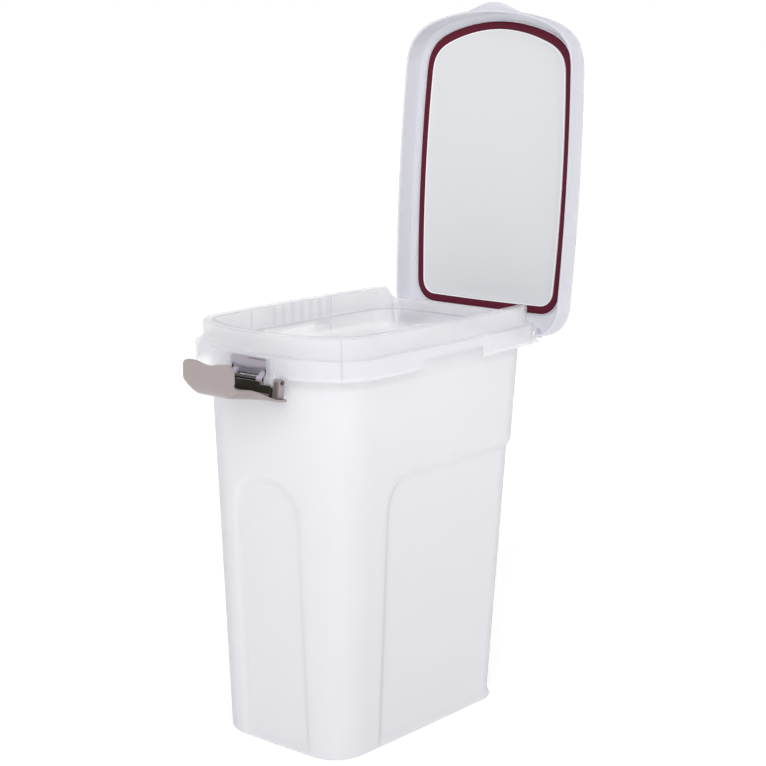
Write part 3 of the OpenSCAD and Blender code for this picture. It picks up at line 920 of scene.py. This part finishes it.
def paint_shade_and_strokes(mat, shader, where, depth):
    """Darken the base colour along the lines seen through the collar and their painted shade, and paint shade
    where the walls turn edge-on and towards the base.
    """
    tree = mat.node_tree
    lines = add(tree, 'ShaderNodeGroup', node_tree=stroke_and_shade_group())
    tree.links.new(where.outputs['Object'], lines.inputs['Vector'])
    colour = shader.inputs['Base Color'].links[0].from_socket
    keep = ramp(tree, lines.outputs['Mask'], 0, 1, 1.0, 1.0 - depth)
    # painted shade: the clear plastic is darkened where the wall turns edge-on, and a little towards the base
    turned = add(tree, 'ShaderNodeLayerWeight')
    facing = ramp(tree, turned.outputs['Facing'], 0.5, 1.0, 0.0, 1.0)
    geometry = add(tree, 'ShaderNodeNewGeometry')
    upright = add(tree, 'ShaderNodeSeparateXYZ')
    tree.links.new(geometry.outputs['Normal'], upright.inputs[0])
    upright = band(tree, upright.outputs['Z'], 0, 0.25, 0.3)
    painted_edge_shade = ramp(tree, combine(tree, 'MULTIPLY', facing, upright), 0, 1, 1.0, 0.70)
    height = add(tree, 'ShaderNodeSeparateXYZ')
    tree.links.new(where.outputs['Object'], height.inputs[0])
    keep = combine(tree, 'MULTIPLY', keep, painted_edge_shade, ramp(tree, height.outputs['Z'], 0.03, 0.36, 0.95, 1.0))
    tint = add(tree, 'ShaderNodeVectorMath', operation='SCALE')
    tree.links.new(colour, tint.inputs[0])
    tree.links.new(keep, tint.inputs['Scale'])
    tree.links.new(tint.outputs[0], shader.inputs['Base Color'])


def clear_by_height(mat, shader, where, low, high, below, above):
    """Thinner mouldings let more through: alpha goes from below to above between two heights."""
    tree = mat.node_tree
    split = add(tree, 'ShaderNodeSeparateXYZ')
    tree.links.new(where.outputs['Object'], split.inputs[0])
    tree.links.new(ramp(tree, split.outputs['Z'], low, high, below, above), shader.inputs['Alpha'])


def dress(piece, *mats):
    """Put finishes in the piece's slots, and keep which face uses which slot."""
    slots = piece.data.materials
    for i, m in enumerate(mats):
        if i < len(slots):
            slots[i] = m
        else:
            slots.append(m)


tub_plastic, tub_shader, tub_where = finish_material(
    'tub_plastic', (0.815, 0.812, 0.85), 0.015, (0.34, 0.46), 0.08,
    Subsurface_Weight=0.85, Subsurface_Scale=0.006, Subsurface_Radius=(1, 1, 1), IOR=1.49)
clear_by_height(tub_plastic, tub_shader, tub_where, 0.375, 0.392, 0.70, 0.34)
# painted shade and seen-through strokes darken the tub's colour
paint_shade_and_strokes(tub_plastic, tub_shader, tub_where, 0.30)
lid_plastic, _, _ = finish_material(
    'lid_plastic', (0.69, 0.69, 0.75), 0.015, (0.30, 0.42), 0.06,
    Subsurface_Weight=0.8, Subsurface_Scale=0.005, Subsurface_Radius=(1, 1, 1), IOR=1.49, Alpha=0.66)
panel_plastic, _, _ = finish_material('panel_plastic', (0.65, 0.66, 0.68), 0.0, (0.29, 0.31), 0.01)
# painted highlight: the near-white beads give bright lines along both edges of the seal
bead_painted_highlight, _, _ = finish_material('bead_painted_highlight', (0.92, 0.92, 0.93), 0.01, (0.2, 0.3), 0.02)
seal_rubber, _, _ = finish_material('seal_rubber', (0.10, 0.010, 0.025), 0.12, (0.45, 0.6), 0.12,
                                    Specular_IOR_Level=0.12)
latch_pearl, _, _ = finish_material('latch_pearl', (0.35, 0.30, 0.30), 0.04, (0.28, 0.36), 0.04,
                                    Metallic=0.45, Coat_Weight=0.3, Coat_Roughness=0.15)
# painted shade: a near-black finish that stands for the shadow inside the latch
latch_painted_shade, _, _ = finish_material('latch_painted_shade', (0.030, 0.024, 0.018), 0.15, (0.35, 0.5), 0.1)
# painted shade: the grey-purple stands for the shadowed pocket and the dark latch seen through the clear
# bracket
bracket_plastic, _, _ = finish_material('bracket_plastic', (0.46, 0.425, 0.50), 0.06, (0.4, 0.5), 0.1)
# painted shade: the latch pin's steel is made very dark to match the shade it sits in inside the latch
shaded_pin_steel, _, _ = finish_material('shaded_pin_steel', (0.14, 0.13, 0.13), 0.1, (0.35, 0.5), 0.1, Metallic=1.0)
pin_plastic, _, _ = finish_material('pin_plastic', (0.78, 0.78, 0.82), 0.03, (0.35, 0.45), 0.08)


# ---------------------------------------------------------------- assembly
def place(piece, name, body, slot, node, *mats):
    piece.name = name
    piece.data.name = name
    dress(piece, *mats)
    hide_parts(node)
    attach(piece, body)


place(finish_tub(build_tub()), 'tub', 'bin', 'tub_plastic', 'bin_body', tub_plastic)
place(build_lid(), 'lid', 'lid', 'lid_plastic', 'lid_shell', lid_plastic)
place(build_panel(), 'lid_panel', 'lid', 'panel_plastic', 'lid_inner_panel', panel_plastic)
place(build_beads(), 'seal_beads', 'lid', 'lid_plastic', 'lid_shell', bead_painted_highlight)
place(build_seal(), 'seal', 'lid', 'seal_rubber', 'lid_gasket', seal_rubber)
place(finish_latch(build_latch()), 'swing_latch', 'latch_arm', 'latch_plastic', 'latch',
      latch_pearl, latch_painted_shade)
place(build_bracket(), 'bracket', 'bin', 'bracket_plastic', 'latch_bracket', bracket_plastic)
for node, mat in (('latch_pin', shaded_pin_steel), ('hinge_pin_left', pin_plastic),
                  ('hinge_pin_right', pin_plastic)):
    dress(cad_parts[node], mat)

# ---------------------------------------------------------------- floor, light and camera
deselect()
bpy.ops.mesh.primitive_plane_add(size=120, location=(0, 0, 0))
floor = bpy.context.object
floor.name = 'floor'
paper, _, _ = finish_material('paper', (0.95, 0.95, 0.95), 0.0, (0.8, 0.9), 0.0,
                              Emission_Color=(1, 1, 1, 1), Emission_Strength=0.2)
dress(floor, paper)

world = bpy.data.worlds.new('tent')
bpy.context.scene.world = world
world.use_nodes = True
sky = world.node_tree.nodes['Background']
sky.inputs['Color'].default_value = (1, 1, 1, 1)
# the tent lights the bin softly and stays plain white behind it
path = world.node_tree.nodes.new('ShaderNodeLightPath')
world.node_tree.links.new(ramp(world.node_tree, path.outputs['Is Camera Ray'], 0, 1, 0.72, 1.0),
                          sky.inputs['Strength'])


def sun(name, source, soft, power):
    deselect()
    bpy.ops.object.light_add(type='SUN', location=source)
    light = bpy.context.object
    light.name = name
    light.data.angle = math.radians(soft)
    light.data.energy = power
    light.rotation_euler = Vector(source).to_track_quat('Z', 'Y').to_euler()


sun('key', (1.05, -1.5, 1.1), 40, 1.35)
sun('side', (2.0, 0.2, 1.1), 70, 0.2)

AZ, EL, DISTANCE = math.radians(40.36), math.radians(11.33), 1.882
target = Vector((0.0072, 0.0223, 0.3509))
back = Vector((math.sin(AZ) * math.cos(EL), -math.cos(AZ) * math.cos(EL), math.sin(EL)))
deselect()
bpy.ops.object.camera_add(location=target + back * DISTANCE)
camera = bpy.context.object
camera.rotation_euler = (-back).to_track_quat('-Z', 'Y').to_euler()
camera.data.lens = 85.54
camera.data.sensor_width = 36
camera.data.clip_start, camera.data.clip_end = 0.05, 50
bpy.context.scene.camera = camera
bpy.context.scene.view_settings.view_transform = 'Standard'
